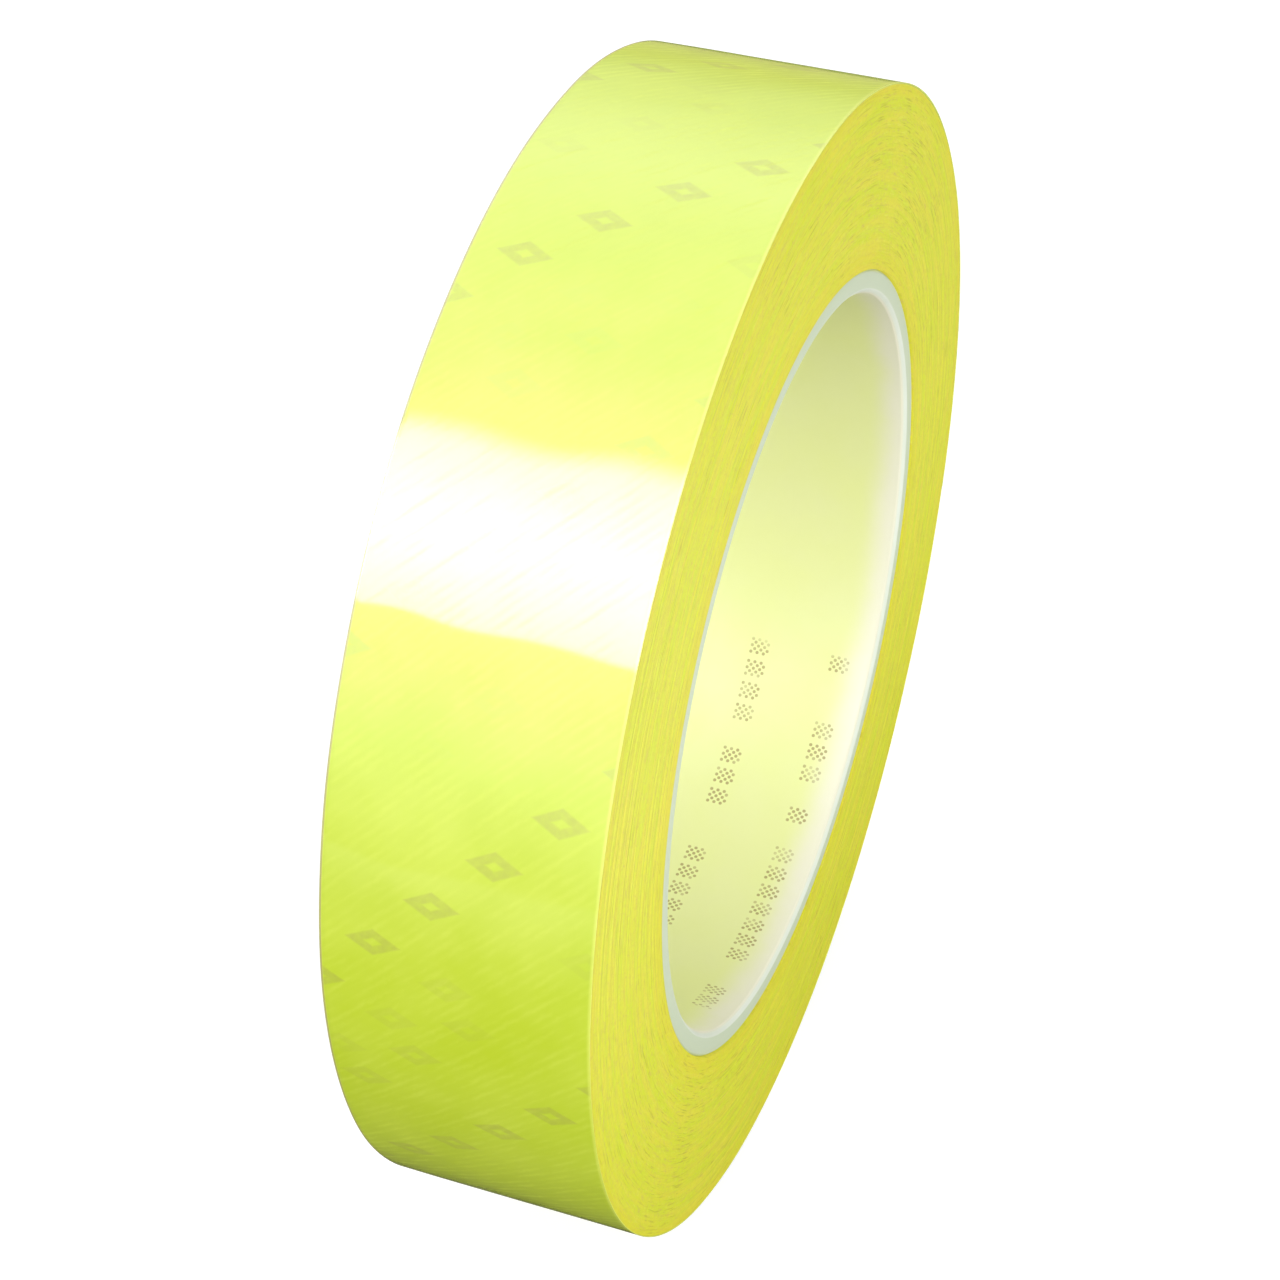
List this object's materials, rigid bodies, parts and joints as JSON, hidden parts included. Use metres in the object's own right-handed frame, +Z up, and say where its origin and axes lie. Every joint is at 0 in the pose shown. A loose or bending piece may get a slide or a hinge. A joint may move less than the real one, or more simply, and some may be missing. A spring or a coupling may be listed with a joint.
{
  "type": "adhesive tape roll",
  "caption": "Roll of glossy yellow film tape wound on a white plastic core, with a loose end that peels away.",
  "frame": {"origin": "the middle of the bore", "axes": "+Z up; the bore runs along Y and the front side face looks towards -Y; the loose end of the tape is on the +X side, with its cut 15 degrees below +X and its peel line 14 degrees above"},
  "size_m": [0.1178, 0.0254, 0.1177],
  "materials": {
    "core_plastic": "satin, slightly translucent",
    "wound_edges": "matt, cut edges of the wound film",
    "film": "high gloss polyester film",
    "adhesive": "tacky, satin"
  },
  "bodies": {
    "roll": {"core": "core_plastic", "wound_tape": "wound_edges", "last_turn_adhesive": "adhesive", "last_turn_film": "film"},
    "free_end": {"free_end_adhesive": "adhesive", "free_end_film": "film"}
  },
  "joints": [
    {"name": "end_peel", "type": "hinge", "parent": "roll", "child": "free_end", "pos_m": [0.05721, 0, 0.01441], "axis": [0, -1, 0], "range_deg": [0, 120]}
  ]
}
